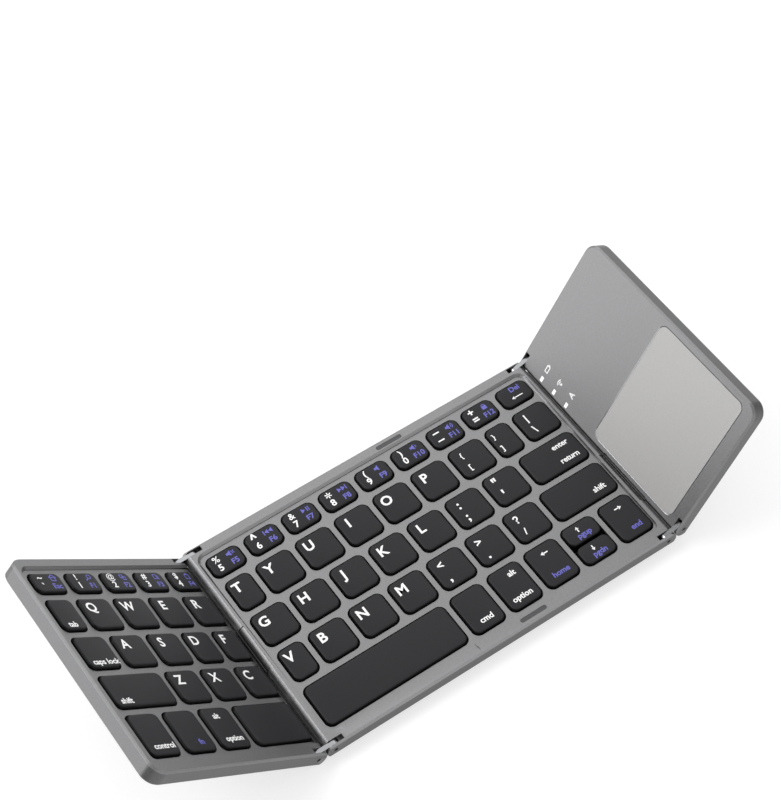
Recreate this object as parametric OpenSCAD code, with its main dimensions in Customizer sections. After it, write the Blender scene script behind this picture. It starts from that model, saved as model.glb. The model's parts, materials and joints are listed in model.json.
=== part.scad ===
// Three-panel folding keyboard with a touchpad wing, shown with both wings part folded.
// Origin: middle of the middle panel on the plane of its rubber feet. +Z up, +X right, +Y back.

/* [Panels] */
// depth of every panel, front to back
depth = 98.4; // [90:0.2:120]
// thickness of one panel without its feet
body_t = 6.6; // [6:0.1:8]
// half distance between the two hinge axes of the middle panel
pivot_x = 75.3; // [70:0.1:92]
// length of the left key wing from its hinge axis
left_len = 84.65; // [76:0.05:102]
// length of the right touchpad wing from its hinge axis
right_len = 60.4; // [50:0.1:75]
// plan radius of the free wing corners
corner_r = 5.5; // [2.5:0.1:9]
// bevel of the upper edges
edge_top = 0.7; // [0.3:0.05:0.8]
// bevel of the lower edges
edge_low = 0.8; // [0.3:0.05:0.9]
// thickness of the cover floors
floor_t = 1.0; // [0.8:0.05:1.3]
// thickness of the outer walls
wall_t = 1.3; // [1:0.05:1.5]

/* [Hinges] */
// tilt of the left wing in the rest pose, degrees
left_tilt = 42.9; // [0:0.1:90]
// tilt of the right wing in the rest pose, degrees
right_tilt = 59.9; // [18.1:0.1:90]
// tilt of the right hinge links in the rest pose, degrees
right_link_tilt = 18.1; // [0:0.1:59]
// how far the radius of the rounded panel ends exceeds half the panel thickness
nose_over = 0.2; // [0.1:0.05:0.4]
// gap between the rounded ends of two neighbouring panels
nose_gap = 0.3; // [0.2:0.05:0.6]
// radius of the link ends
link_r = 2.6; // [2:0.1:2.8]
// height of a link between its ends
link_waist = 5.2; // [2.4:0.1:5.2]
// thickness of a link
link_t = 1.8; // [1.2:0.1:2]
// distance of the middle of a link from the outer face of the panel
link_in = 1.8; // [1.6:0.05:2.6]
// thickness of the cheek inside of a link
cheek_t = 2.05; // [1.2:0.05:2.4]
// diameter of the hinge pins
pin_d = 1.6; // [1.2:0.1:2]
// radial clearance of a link on its pin
pin_play = 0.05; // [0.02:0.01:0.1]
// radial clearance of a pin in the panel
pin_seat = 0.02; // [0.01:0.01:0.04]
// width of the flat cable in the left hinge
left_cable_w = 20; // [12:1:24]
// width of the flat cable in the right hinge
right_cable_w = 25; // [12:1:28]

/* [Keys] */
// clear distance between neighbouring keys of a row
key_gap = 3.0; // [2.4:0.05:3.6]
// clear distance between rows
row_gap = 3.2; // [2.8:0.05:3.9]
// depth of the number row
number_row = 9.4; // [8:0.1:11.5]
// depth of the space bar row
space_row = 18.2; // [15:0.1:22]
// width of the rim behind and before the keys
rim_w = 5.0; // [4.2:0.1:6.5]
// plan radius of the key corners
key_r = 2.6; // [1.5:0.1:3.2]
// clearance of a key in its opening
key_play = 0.5; // [0.3:0.05:0.6]
// height of a keycap
key_h = 3.0; // [2.6:0.05:3.2]
// travel of a key
key_travel = 1.2; // [0.8:0.05:1.3]
// wall and roof thickness of a keycap
key_wall = 1.0; // [0.7:0.05:1.2]
// depth of the key field below the rim
web_drop = 1.1; // [0.8:0.05:1.3]
// thickness of the web between the keys
web_t = 1.5; // [1.2:0.05:1.6]

/* [Touchpad] */
// near edge of the touchpad from the wing's hinge axis
pad_s0 = 1.03; // [0.9:0.01:2]
// margin between the touchpad and the free end of the wing
pad_end = 2.97; // [2:0.01:8]
// depth of the touchpad, front to back
pad_w = 46.4; // [38:0.1:52]
// margin between the touchpad and the front face
pad_front = 6.07; // [4:0.01:8]
// plan radius of the touchpad corners
pad_r = 3.0; // [2:0.1:4]
// gap around the touchpad
pad_gap = 0.12; // [0.08:0.01:0.2]

/* [Feet and fasteners] */
// height of the rubber feet below the body
foot_h = 0.8; // [0.6:0.05:1.2]
// diameter of the rubber feet
foot_d = 8; // [5:0.5:9]
// shank diameter of the cover screws
screw_d = 1.0; // [0.8:0.1:1.2]
// head diameter of the cover screws
screw_head_d = 2.2; // [1.8:0.1:2.4]

/* [Hidden] */
$fn = 48;
e = 0.05;
over = 1;

hy = depth / 2;
reach = pivot_x + left_len + right_len;
mid_z = body_t / 2;
nose_r = mid_z + nose_over;
link_d = 2 * nose_r + nose_gap;
link_y = hy - link_in;
web_z = body_t - web_drop;
web_low = web_z - web_t;
parting_drop = 0.2;
part_z = body_t - edge_top - parting_drop;
cavity_y = hy - wall_t;
slot_play = 0.15;
block_y = link_y - link_t / 2 - slot_play - cheek_t;
slot_room = 1.5;
slot_in = link_r + slot_room;
slot_wall = 1.4;
block_in = slot_in + slot_wall;
pin_sink = 0.6;
nose_wall = 2.05;
fit = 0.1;
film_t = 0.3;
plate_t = 0.4;
plate_z = floor_t + film_t;
deck_z = plate_z + plate_t;
key_z = body_t - key_h;
notch_deep = 0.4;
notch_r = nose_r - notch_deep;
notch_from = 1;
cable_gap = 0.05;
cable_t = nose_gap - 2 * cable_gap;
cable_h = 3.0;
left_cable_y = 0;
right_cable_y = -17.5;

// key field: the rim leaves it, the keys fill it, wide keys keep their widths
front_more = 0.2;
field_in = 0.35;
field_back = hy - rim_w;
field_front = -hy + rim_w + front_more;
field_x = pivot_x - field_in;
back_margin = 2.3;
front_margin = 2.0;
right_margin = 0.85;
left_margin = [1.45, 2.15, 1.8, 2.15, 1.8];
row_back = field_back - back_margin;
row_front = field_front + front_margin;
unit_d = (row_back - row_front - number_row - space_row - 4 * row_gap) / 3;
row_h = [number_row, unit_d, unit_d, unit_d, space_row];
center_x1 = field_x - right_margin;
center_x0 = [for (m = left_margin) m - field_x];
// widths of the keys before and after the equal ones of each row, and how many equal ones
center_first = [[], [10.3], [14.3], [10.3], []];
center_same = [9, 6, 6, 6, 1];
center_last = [[], [10.3, 14.8], [24.7], [28.2], [13.9, 14.0, 14.3, 14.6, 14.1]];
left_s0 = -0.85;
left_end = 4;
left_s1 = left_len - left_end;
left_first = [[13.4], [13.8], [11.8, 13], [14], []];
left_same = [4, 3, 2, 2, 1];
left_last = [[], [11.4], [14.9], [28.8], [14.4, 14.5, 14.3]];
left_rim = 2.7;
left_field = left_len - left_rim;
split_gap = 1.0;
function filled(first, same, last, span) = let (
    n = len(first) + same + len(last),
    rest = span - (n - 1) * key_gap - sum(first, len(first)) - sum(last, len(last)))
    concat(first, [for (i = [1:same]) rest / same], last);
center_w = [for (r = [0:4])
    filled(center_first[r], center_same[r], center_last[r], center_x1 - center_x0[r])];
left_w = [for (r = [0:4]) filled(left_first[r], left_same[r], left_last[r], left_s1 - left_s0)];
function sum(v, n, i = 0) = i >= n ? 0 : v[i] + sum(v, n, i + 1);
function row_y1(r) = row_back - sum(row_h, r) - r * row_gap;
function row_y0(r) = row_y1(r) - row_h[r];
function cx0(r, i) = center_x0[r] + sum(center_w[r], i) + i * key_gap;
function lx0(r, i) = left_s0 + sum(left_w[r], i) + i * key_gap;
half_h = (row_h[4] - split_gap) / 2;

pad_l = right_len - pad_s0 - pad_end;
pad_y = -hy + pad_front + pad_w / 2;
pad_top = pad_y + pad_w / 2;

// fasteners
screw_y = [row_y0(0) - row_gap / 2, row_y0(3) - row_gap / 2];
screw_in = 13.3;
center_screw_x = [-pivot_x + screw_in, 0, pivot_x - screw_in];
left_screw_in = [22, 20.65];
left_screw_x = [left_screw_in[0], left_len - left_screw_in[1]];
right_screw_in = [8, 8.4];
right_screw_end = right_len - right_screw_in[1];
screw_rim = 3.3;
screw_pad = 6.7;
right_screw = [[right_screw_in[0], pad_top + screw_pad], [right_screw_end, hy - screw_rim],
    [right_screw_in[0], screw_rim - hy], [right_screw_end, screw_rim - hy]];
boss_wall = 0.75;
boss_r = screw_d / 2 + boss_wall;
thread_play = 0.02;
shank_play = 0.1;
sheet_play = 0.15;
head_h = 0.6;
foot_in = 0.3;
foot_margin = 13.2;
foot_y = hy - foot_margin;
left_foot_in = [14, 12.65];
right_foot_in = [12, 10.4];
center_foot = [for (x = [-1, 1], y = [-1, 1]) [x * (pivot_x - screw_in), y * foot_y]];
left_foot = [for (x = [left_foot_in[0], left_len - left_foot_in[1]], y = [-1, 1]) [x, y * foot_y]];
right_foot = [for (x = [right_foot_in[0], right_len - right_foot_in[1]], y = [-1, 1]) [x, y * foot_y]];

// rim details
pill_x = 13.5;
pill_l = 11.7;
pill_w = 1.8;
pill_in = 2.7;
pill_y = hy - pill_in;
pill_play = 0.05;
magnet_in = 0.6;
magnet_play = 0.1;
pill_t = 0.4;
pill_deep = 0.5;
scoop_in = 4.65;
scoop_past = 0.8;
scoop_rim = 1.2;
scoop_x = [center_x0[4] + scoop_in, center_x0[4] + center_w[4][0] + scoop_past];
scoop_front = -hy + scoop_rim;

// right wing inside
board_t = 0.8;
board_end = 3;
board_front = 3.7;
board_back = 6.2;
board_top = floor_t + 2 * board_t;
chip_w = 8;
chip_t = 1;
chip_at = [0.27, 0.7];
chip_front = 10.7;
boss_play = 0.3;
pad_board_in = 1;
cell_in = [8, 4];
cell_front = 7.2;
cell_past = 0.7;
cell_r = 1;
cell_t = 3;
lid_t = 1.4;
lid_low = body_t - lid_t;
port_s = right_len / 2;
port_w = 9;
port_h = 3.2;
port_l = 7.4;
port_wall = 0.3;
port_room = [0.2, 0.4];
lens_s = 0.65;
lens_pitch = 7.8;
lens_back = 13.1;
lens_y = [for (i = [0:2]) hy - lens_back - i * lens_pitch];
lens_l = 2.2;
lens_w = 1.4;
lens_gap = 0.05;
support_in = 2.2;
support_rib = 0.8;
support_up = 0.5;
plate_in = 0.3;
film_in = 0.5;
screw_end = 0.3;
screw_play = 0.1;
open_room = 4;

module in_center() { translate([0, 0, foot_h]) children(); }
module in_left() {
    translate([-pivot_x - link_d, 0, foot_h + mid_z]) rotate([0, left_tilt, 0])
        mirror([1, 0, 0]) translate([0, 0, -mid_z]) children();
}
module in_right() {
    translate([pivot_x + link_d * cos(right_link_tilt), 0,
            foot_h + mid_z + link_d * sin(right_link_tilt)])
        rotate([0, -right_tilt, 0]) translate([0, 0, -mid_z]) children();
}
module in_left_link() { translate([-pivot_x, 0, foot_h + mid_z]) mirror([1, 0, 0]) children(); }
module in_right_link() {
    translate([pivot_x, 0, foot_h + mid_z]) rotate([0, -right_link_tilt, 0]) children();
}

module along_x(x0, x1) {
    translate([x0, 0, 0]) rotate([90, 0, 90]) linear_extrude(x1 - x0) children();
}
module along_y(y0, y1) {
    translate([0, y1, 0]) rotate([90, 0, 0]) linear_extrude(y1 - y0) children();
}
module block(x0, x1, y0, y1, z0, z1) {
    translate([x0, y0, z0]) cube([x1 - x0, y1 - y0, z1 - z0]);
}
module round_2d(x0, x1, y0, y1, r) {
    translate([x0 + r, y0]) square([x1 - x0 - 2 * r, y1 - y0]);
    translate([x0, y0 + r]) square([x1 - x0, y1 - y0 - 2 * r]);
    for (x = [x0 + r, x1 - r], y = [y0 + r, y1 - r]) translate([x, y]) circle(r);
}
module round_block(x0, x1, y0, y1, r, z0, z1) {
    translate([0, 0, z0]) linear_extrude(z1 - z0) round_2d(x0, x1, y0, y1, r);
}
// bevelled cross-section over the depth of a panel
module depth_2d() {
    polygon([[-hy + edge_low, 0], [hy - edge_low, 0], [hy, edge_low], [hy, body_t - edge_top],
        [hy - edge_top, body_t], [-hy + edge_top, body_t], [-hy, body_t - edge_top],
        [-hy, edge_low]]);
}
// side view of a panel with a rounded end about each hinge axis in the list
module side_2d(x0, x1, axes) {
    translate([x0, 0]) square([x1 - x0, body_t]);
    intersection() {
        for (a = axes) translate([a, mid_z]) circle(nose_r);
        translate([x0 - 2 * nose_r, 0]) square([x1 - x0 + 4 * nose_r, body_t]);
    }
}
module center_solid() {
    intersection() {
        along_x(-pivot_x - nose_r, pivot_x + nose_r) depth_2d();
        along_y(-hy, hy) side_2d(-pivot_x, pivot_x, [-pivot_x, pivot_x]);
    }
}
module wing_solid(len) {
    intersection() {
        union() {
            along_x(-nose_r, len - corner_r) depth_2d();
            along_y(-hy + corner_r, hy - corner_r)
                polygon([[-nose_r, 0], [len - edge_low, 0], [len, edge_low],
                    [len, body_t - edge_top], [len - edge_top, body_t], [-nose_r, body_t]]);
            for (y = [-hy + corner_r, hy - corner_r]) translate([len - corner_r, y, 0]) {
                cylinder(h = edge_low, r1 = corner_r - edge_low, r2 = corner_r);
                translate([0, 0, edge_low]) cylinder(h = body_t - edge_low - edge_top, r = corner_r);
                translate([0, 0, body_t - edge_top])
                    cylinder(h = edge_top, r1 = corner_r, r2 = corner_r - edge_top);
            }
        }
        along_y(-hy, hy) side_2d(0, len, [0]);
    }
}
// inside outline of a panel: the corners next to a hinge stay solid for its slots and pins
module inside_center(c) {
    x = pivot_x + nose_r - nose_wall - c;
    xb = pivot_x - block_in - c;
    translate([-x, -block_y + c]) square([2 * x, 2 * (block_y - c)]);
    translate([-xb, -cavity_y + c]) square([2 * xb, 2 * (cavity_y - c)]);
}
module inside_wing(len, c) {
    x0 = -nose_r + nose_wall + c;
    x1 = len - wall_t - c;
    translate([x0, -block_y + c]) square([block_in + c + e - x0, 2 * (block_y - c)]);
    round_2d(block_in + c, x1, -cavity_y + c, cavity_y - c, corner_r - wall_t - c);
    translate([block_in + c, -cavity_y + c]) square([corner_r, 2 * (cavity_y - c)]);
}
// link slots, pin bores and the notch for the flat cable, all about one hinge axis
module hinge_cuts(cable_y, cable_w) {
    for (m = [0, 1]) mirror([0, m, 0]) {
        block(-slot_in, nose_r + over, link_y - link_t / 2 - slot_play,
            link_y + link_t / 2 + slot_play, -mid_z - over, mid_z + over);
        translate([0, hy + over, 0]) rotate([90, 0, 0])
            cylinder(h = hy + over - block_y - fit, d = pin_d + 2 * pin_seat);
    }
    intersection() {
        along_y(cable_y - cable_w / 2 - fit, cable_y + cable_w / 2 + fit) difference() {
            circle(nose_r + over);
            circle(notch_r);
        }
        block(notch_from, nose_r + over, -hy, hy, -nose_r, nose_r);
    }
}
module center_hinge_cuts() {
    translate([pivot_x, 0, mid_z]) hinge_cuts(right_cable_y, right_cable_w);
    translate([-pivot_x, 0, mid_z]) mirror([1, 0, 0]) hinge_cuts(left_cable_y, left_cable_w);
}
module wing_hinge_cuts(cable_y, cable_w) {
    translate([0, 0, mid_z]) mirror([1, 0, 0]) hinge_cuts(cable_y, cable_w);
}
module pins(axis_x) {
    for (m = [0, 1]) mirror([0, m, 0]) translate([axis_x, hy - pin_sink, mid_z])
        rotate([90, 0, 0]) cylinder(h = hy - pin_sink - block_y - 2 * fit, d = pin_d);
}
module links() {
    for (m = [0, 1]) mirror([0, m, 0])
        along_y(link_y - link_t / 2, link_y + link_t / 2) difference() {
            union() {
                for (x = [0, link_d]) translate([x, 0]) circle(link_r);
                translate([0, -link_waist / 2]) square([link_d, link_waist]);
            }
            for (x = [0, link_d]) translate([x, 0]) circle(pin_d / 2 + pin_play);
        }
}
module cable(cable_y, cable_w) {
    block(link_d / 2 - cable_t / 2, link_d / 2 + cable_t / 2, cable_y - cable_w / 2,
        cable_y + cable_w / 2, -cable_h / 2, cable_h / 2);
}

// one keycap, its opening in the web and its guide frame
module keycap(x0, x1, y0, y1) {
    difference() {
        round_block(x0, x1, y0, y1, key_r, key_z, body_t);
        round_block(x0 + key_wall, x1 - key_wall, y0 + key_wall, y1 - key_wall, key_r - key_wall,
            key_z - e, body_t - key_wall);
    }
}
module opening(x0, x1, y0, y1, c = 0) {
    round_block(x0 - key_play - c, x1 + key_play, y0 - key_play, y1 + key_play,
        key_r + key_play, web_low - e, web_z + e);
}
module support(x0, x1, y0, y1) {
    in = support_in;
    hole = support_in + support_rib;
    difference() {
        block(x0 + in, x1 - in, y0 + in, y1 - in, deck_z, key_z + support_up);
        block(x0 + hole, x1 - hole, y0 + hole, y1 - hole, deck_z - e, body_t);
    }
}
module center_keycap(r, i) {
    keycap(cx0(r, i), cx0(r, i) + center_w[r][i], row_y0(r), row_y1(r));
}
module left_keycap(r, i) {
    keycap(lx0(r, i), lx0(r, i) + left_w[r][i], row_y0(r), row_y1(r));
}
module center_openings() {
    for (r = [0:4]) for (i = [0:len(center_w[r]) - 1])
        opening(cx0(r, i), cx0(r, i) + center_w[r][i], row_y0(r), row_y1(r));
}
module left_openings() {
    for (r = [0:4]) for (i = [0:len(left_w[r]) - 1])
        opening(lx0(r, i), lx0(r, i) + left_w[r][i], row_y0(r), row_y1(r), i == 0 ? open_room : 0);
}
module center_supports() {
    for (r = [0:4]) for (i = [0:len(center_w[r]) - 1]) {
        x0 = cx0(r, i);
        x1 = x0 + center_w[r][i];
        if (r == 4 && i == 4) {
            support(x0, x1, row_y1(r) - half_h, row_y1(r));
            support(x0, x1, row_y0(r), row_y0(r) + half_h);
        } else support(x0, x1, row_y0(r), row_y1(r));
    }
}
module left_supports() {
    for (r = [0:4]) for (i = [0:len(left_w[r]) - 1])
        support(lx0(r, i), lx0(r, i) + left_w[r][i], row_y0(r), row_y1(r));
}

// screws go up through floor, film and plate into bosses of the frame
module bosses(xs) {
    for (x = xs, y = screw_y) translate([x, y, deck_z])
        cylinder(h = web_low + e - deck_z, r = boss_r);
}
module screw() {
    cylinder(h = head_h, d = screw_head_d);
    cylinder(h = web_z - screw_end, d = screw_d);
}
module screw_cut(play) {
    translate([0, 0, -e]) cylinder(h = head_h + screw_play + e, d = screw_head_d + 2 * play);
    translate([0, 0, -e]) cylinder(h = web_z - screw_play, d = screw_d + 2 * play);
}
module foot() { translate([0, 0, -foot_h]) cylinder(h = foot_h + foot_in, d = foot_d); }
module foot_cuts(list) {
    for (p = list) translate([p[0], p[1], -e]) cylinder(h = foot_in + e, d = foot_d + 2 * e);
}
module pill(l, w, z0, z1) {
    round_block(pill_x - l / 2, pill_x + l / 2, -w / 2, w / 2, w / 2 - e / 5, z0, z1);
}
module above() { block(-reach, reach, -hy - over, hy + over, part_z, body_t + over); }
module below() { block(-reach, reach, -hy - over, hy + over, -over, part_z); }

module center_top_frame() {
    color("#8c8b90") in_center() difference() {
        union() {
            intersection() { center_solid(); above(); }
            translate([0, 0, web_low]) linear_extrude(part_z - web_low + e) inside_center(fit);
            bosses(center_screw_x);
        }
        round_block(-field_x, field_x, field_front, field_back, key_r + key_play, web_z,
            body_t + over);
        center_openings();
        center_hinge_cuts();
        for (x = center_screw_x, y = screw_y) translate([x, y, 0]) screw_cut(thread_play);
        for (m = [0, 1]) mirror([0, m, 0]) translate([0, pill_y, 0]) {
            pill(pill_l, pill_w, body_t - pill_deep, body_t + over);
            block(pill_x - pill_l / 2 + magnet_in - magnet_play,
                pill_x + pill_l / 2 - magnet_in + magnet_play, -pill_w / 2, pill_w / 2,
                web_low - e, web_z - fit);
        }
        along_x(scoop_x[0], scoop_x[1])
            polygon([[scoop_front, body_t], [field_front, web_z], [field_front + over, web_z],
                [field_front + over, body_t + over], [scoop_front, body_t + over]]);
    }
}
module center_bottom_cover() {
    color("#6f6e74") in_center() difference() {
        intersection() { center_solid(); below(); }
        translate([0, 0, floor_t]) linear_extrude(body_t) inside_center(0);
        center_hinge_cuts();
        for (x = center_screw_x, y = screw_y) translate([x, y, 0]) screw_cut(shank_play);
        foot_cuts(center_foot);
    }
}
module center_sheet(z, t, c) {
    x = pivot_x + nose_r - nose_wall - c;
    difference() {
        block(-x, x, -block_y + c, block_y - c, z, z + t);
        for (x = center_screw_x, y = screw_y) translate([x, y, 0]) screw_cut(sheet_play);
    }
}
module center_key_plate() { color("#b9bcc0") in_center() center_sheet(plate_z, plate_t, plate_in); }
module center_key_membrane() { color("#3a5a46") in_center() center_sheet(floor_t, film_t, film_in); }
module center_key_supports() { color("#d8d8d4") in_center() center_supports(); }
module rim_pads() {
    color("#3b3b3f") in_center() for (m = [0, 1]) mirror([0, m, 0]) translate([0, pill_y, 0])
        pill(pill_l - 2 * pill_play, pill_w - 2 * pill_play, body_t - pill_deep, body_t - pill_deep + pill_t);
}
module rim_magnets() {
    color("#a8aaad") in_center() for (m = [0, 1]) mirror([0, m, 0]) translate([0, pill_y, 0])
        block(pill_x - pill_l / 2 + magnet_in, pill_x + pill_l / 2 - magnet_in,
            -pill_w / 2 + magnet_play, pill_w / 2 - magnet_play, web_low, web_z - fit);
}
module center_screws() {
    color("#55565a") in_center() for (x = center_screw_x, y = screw_y) translate([x, y, 0]) screw();
}
module center_feet() {
    color("#2a2a2c") in_center() for (p = center_foot) translate([p[0], p[1], 0]) foot();
}
module center_hinge_pins() { color("#9a9ca0") in_center() { pins(pivot_x); pins(-pivot_x); } }

module left_top_frame() {
    color("#8c8b90") in_left() difference() {
        union() {
            intersection() { wing_solid(left_len); above(); }
            translate([0, 0, web_low]) linear_extrude(part_z - web_low + e) inside_wing(left_len, fit);
            bosses(left_screw_x);
        }
        round_block(-4 * nose_r, left_field, field_front, field_back, key_r + key_play, web_z,
            body_t + over);
        left_openings();
        wing_hinge_cuts(left_cable_y, left_cable_w);
        for (x = left_screw_x, y = screw_y) translate([x, y, 0]) screw_cut(thread_play);
    }
}
module left_bottom_cover() {
    color("#6f6e74") in_left() difference() {
        intersection() { wing_solid(left_len); below(); }
        block(-nose_r - over, 0, field_front, field_back, web_z, body_t);
        translate([0, 0, floor_t]) linear_extrude(body_t) inside_wing(left_len, 0);
        wing_hinge_cuts(left_cable_y, left_cable_w);
        for (x = left_screw_x, y = screw_y) translate([x, y, 0]) screw_cut(shank_play);
        foot_cuts(left_foot);
    }
}
module left_sheet(z, t, c) {
    difference() {
        block(-nose_r + nose_wall + c, left_field, -block_y + c, block_y - c, z, z + t);
        for (x = left_screw_x, y = screw_y) translate([x, y, 0]) screw_cut(sheet_play);
    }
}
module left_key_plate() { color("#b9bcc0") in_left() left_sheet(plate_z, plate_t, plate_in); }
module left_key_membrane() { color("#3a5a46") in_left() left_sheet(floor_t, film_t, film_in); }
module left_key_supports() { color("#d8d8d4") in_left() left_supports(); }
module left_screws() {
    color("#55565a") in_left() for (x = left_screw_x, y = screw_y) translate([x, y, 0]) screw();
}
module left_feet() {
    color("#2a2a2c") in_left() for (p = left_foot) translate([p[0], p[1], 0]) foot();
}
module left_hinge_pins() { color("#9a9ca0") in_left() pins(0); }

module right_bosses() {
    for (p = right_screw) translate([p[0], p[1], floor_t])
        cylinder(h = lid_low + e - floor_t, r = boss_r);
}
module lens(g) {
    for (y = lens_y) block(lens_s - lens_l / 2 - g, lens_s + lens_l / 2 + g, y - lens_w / 2 - g,
        y + lens_w / 2 + g, 0, body_t + g);
}
module port_2d(g) {
    r = port_h / 2 + g;
    for (x = [-1, 1]) translate([x * (port_w / 2 + g - r), 0]) circle(r);
    translate([-port_w / 2 - g + r, -r]) square([port_w + 2 * g - 2 * r, 2 * r]);
}
module right_top_cover() {
    color("#8c8b90") in_right() difference() {
        union() {
            intersection() { wing_solid(right_len); above(); }
            translate([0, 0, lid_low]) linear_extrude(part_z - lid_low + e) inside_wing(right_len, fit);
            right_bosses();
        }
        round_block(pad_s0 - pad_gap, pad_s0 + pad_l + pad_gap, pad_y - pad_w / 2 - pad_gap,
            pad_y + pad_w / 2 + pad_gap, pad_r + pad_gap, lid_low - e, body_t + e);
        wing_hinge_cuts(right_cable_y, right_cable_w);
        for (p = right_screw) translate([p[0], p[1], 0]) screw_cut(thread_play);
        lens(lens_gap);
    }
}
module right_bottom_cover() {
    color("#6f6e74") in_right() difference() {
        intersection() { wing_solid(right_len); below(); }
        translate([0, 0, floor_t]) linear_extrude(body_t) inside_wing(right_len, 0);
        wing_hinge_cuts(right_cable_y, right_cable_w);
        for (p = right_screw) translate([p[0], p[1], 0]) screw_cut(shank_play);
        translate([port_s, 0, mid_z]) along_y(cavity_y - e, hy + e) port_2d(fit);
        foot_cuts(right_foot);
    }
}
module touchpad() {
    color("#a2a2a4") in_right() round_block(pad_s0, pad_s0 + pad_l, pad_y - pad_w / 2,
        pad_y + pad_w / 2, pad_r, lid_low, body_t - e);
}
module touchpad_board() {
    color("#1f5138") in_right() difference() {
        block(pad_s0 - pad_board_in, pad_s0 + pad_l, pad_y - pad_w / 2, pad_top + pad_board_in,
            lid_low - board_t, lid_low);
        for (p = right_screw) translate([p[0], p[1], 0]) cylinder(h = body_t, r = boss_r + boss_play);
    }
}
module main_board() {
    color("#1f5138") in_right() difference() {
        union() {
            block(0, right_len - board_end, pad_top + board_front, hy - board_back,
                floor_t + board_t, board_top);
            for (s = chip_at * right_len) block(s - chip_w / 2, s + chip_w / 2,
                pad_top + chip_front, pad_top + chip_front + chip_w, board_top - e,
                board_top + chip_t);
        }
        for (p = right_screw) translate([p[0], p[1], 0]) cylinder(h = body_t, r = boss_r + boss_play);
        block(port_s - port_w / 2 - port_room[0], port_s + port_w / 2 + port_room[0],
            hy - port_l - port_room[1], hy, 0, body_t);
    }
}
module battery() {
    color("#b7b9bc") in_right() round_block(cell_in[0], right_len - cell_in[1], -hy + cell_front,
        pad_top + cell_past, cell_r, floor_t, floor_t + cell_t);
}
module charging_port() {
    color("#c4c6c9") in_right() translate([port_s, 0, mid_z]) along_y(hy - port_l, hy - fit)
        difference() {
            port_2d(0);
            port_2d(-port_wall);
        }
}
module indicator_lenses() {
    color("#f4f4f4") in_right() intersection() {
        lens(0);
        block(-over, right_len, 0, hy, board_top, body_t - e);
    }
}
module right_screws() {
    color("#55565a") in_right() for (p = right_screw) translate([p[0], p[1], 0]) screw();
}
module right_feet() {
    color("#2a2a2c") in_right() for (p = right_foot) translate([p[0], p[1], 0]) foot();
}
module right_hinge_pins() { color("#9a9ca0") in_right() pins(0); }

module left_hinge_links() { color("#e8e8ea") in_left_link() links(); }
module right_hinge_links() { color("#e8e8ea") in_right_link() links(); }
module left_flex_cable() { color("#3b3b3f") in_left_link() cable(left_cable_y, left_cable_w); }
module right_flex_cable() { color("#3b3b3f") in_right_link() cable(right_cable_y, right_cable_w); }

module center_key(r, list) { color("#26262a") in_center() for (i = list) center_keycap(r, i); }
module left_key(r, list) { color("#26262a") in_left() for (i = list) left_keycap(r, i); }
module keys_number_left() { left_key(0, [0:4]); }
module keys_number_center() { center_key(0, [0:8]); }
module keys_upper_left() { left_key(1, [0:3]); }
module keys_upper_center() { center_key(1, [0:7]); }
module keys_home_left() { left_key(2, [0:3]); }
module keys_home_center() { center_key(2, [0:6]); }
module keys_lower_left() { left_key(3, [0:2]); }
module keys_lower_center() { center_key(3, [0:6]); }
module key_tab() { left_key(1, [4]); }
module key_caps_lock() { left_key(2, [4]); }
module key_shift_left() { left_key(3, [3]); }
module key_space_left() { left_key(4, [0]); }
module key_alt_left() { left_key(4, [1]); }
module key_fn() { left_key(4, [2]); }
module key_control() { left_key(4, [3]); }
module key_backslash() { center_key(1, [8]); }
module key_enter() { center_key(2, [7]); }
module key_shift_right() { center_key(3, [7]); }
module key_space_right() { center_key(4, [0]); }
module key_modifier() { center_key(4, [1]); }
module key_alt_right() { center_key(4, [2]); }
module key_arrow_left() { center_key(4, [3]); }
module key_arrow_up() {
    color("#26262a") in_center()
        keycap(cx0(4, 4), cx0(4, 4) + center_w[4][4], row_y1(4) - half_h, row_y1(4));
}
module key_arrow_down() {
    color("#26262a") in_center()
        keycap(cx0(4, 4), cx0(4, 4) + center_w[4][4], row_y0(4), row_y0(4) + half_h);
}
module key_arrow_right() { center_key(4, [5]); }

center_top_frame();
center_bottom_cover();
center_key_plate();
center_key_membrane();
center_key_supports();
rim_pads();
rim_magnets();
center_screws();
center_feet();
center_hinge_pins();
left_top_frame();
left_bottom_cover();
left_key_plate();
left_key_membrane();
left_key_supports();
left_screws();
left_feet();
left_hinge_pins();
right_top_cover();
right_bottom_cover();
touchpad();
touchpad_board();
main_board();
battery();
charging_port();
indicator_lenses();
right_screws();
right_feet();
right_hinge_pins();
left_hinge_links();
right_hinge_links();
left_flex_cable();
right_flex_cable();
keys_number_left();
keys_number_center();
keys_upper_left();
keys_upper_center();
keys_home_left();
keys_home_center();
keys_lower_left();
keys_lower_center();
key_tab();
key_caps_lock();
key_shift_left();
key_space_left();
key_alt_left();
key_fn();
key_control();
key_backslash();
key_enter();
key_shift_right();
key_space_right();
key_modifier();
key_alt_right();
key_arrow_left();
key_arrow_up();
key_arrow_down();
key_arrow_right();
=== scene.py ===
"""Looks of a three-panel folding keyboard with a touchpad wing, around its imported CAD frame."""
import json
import math

import bmesh
import bpy
from mathutils import Euler, Matrix, Vector


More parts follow.
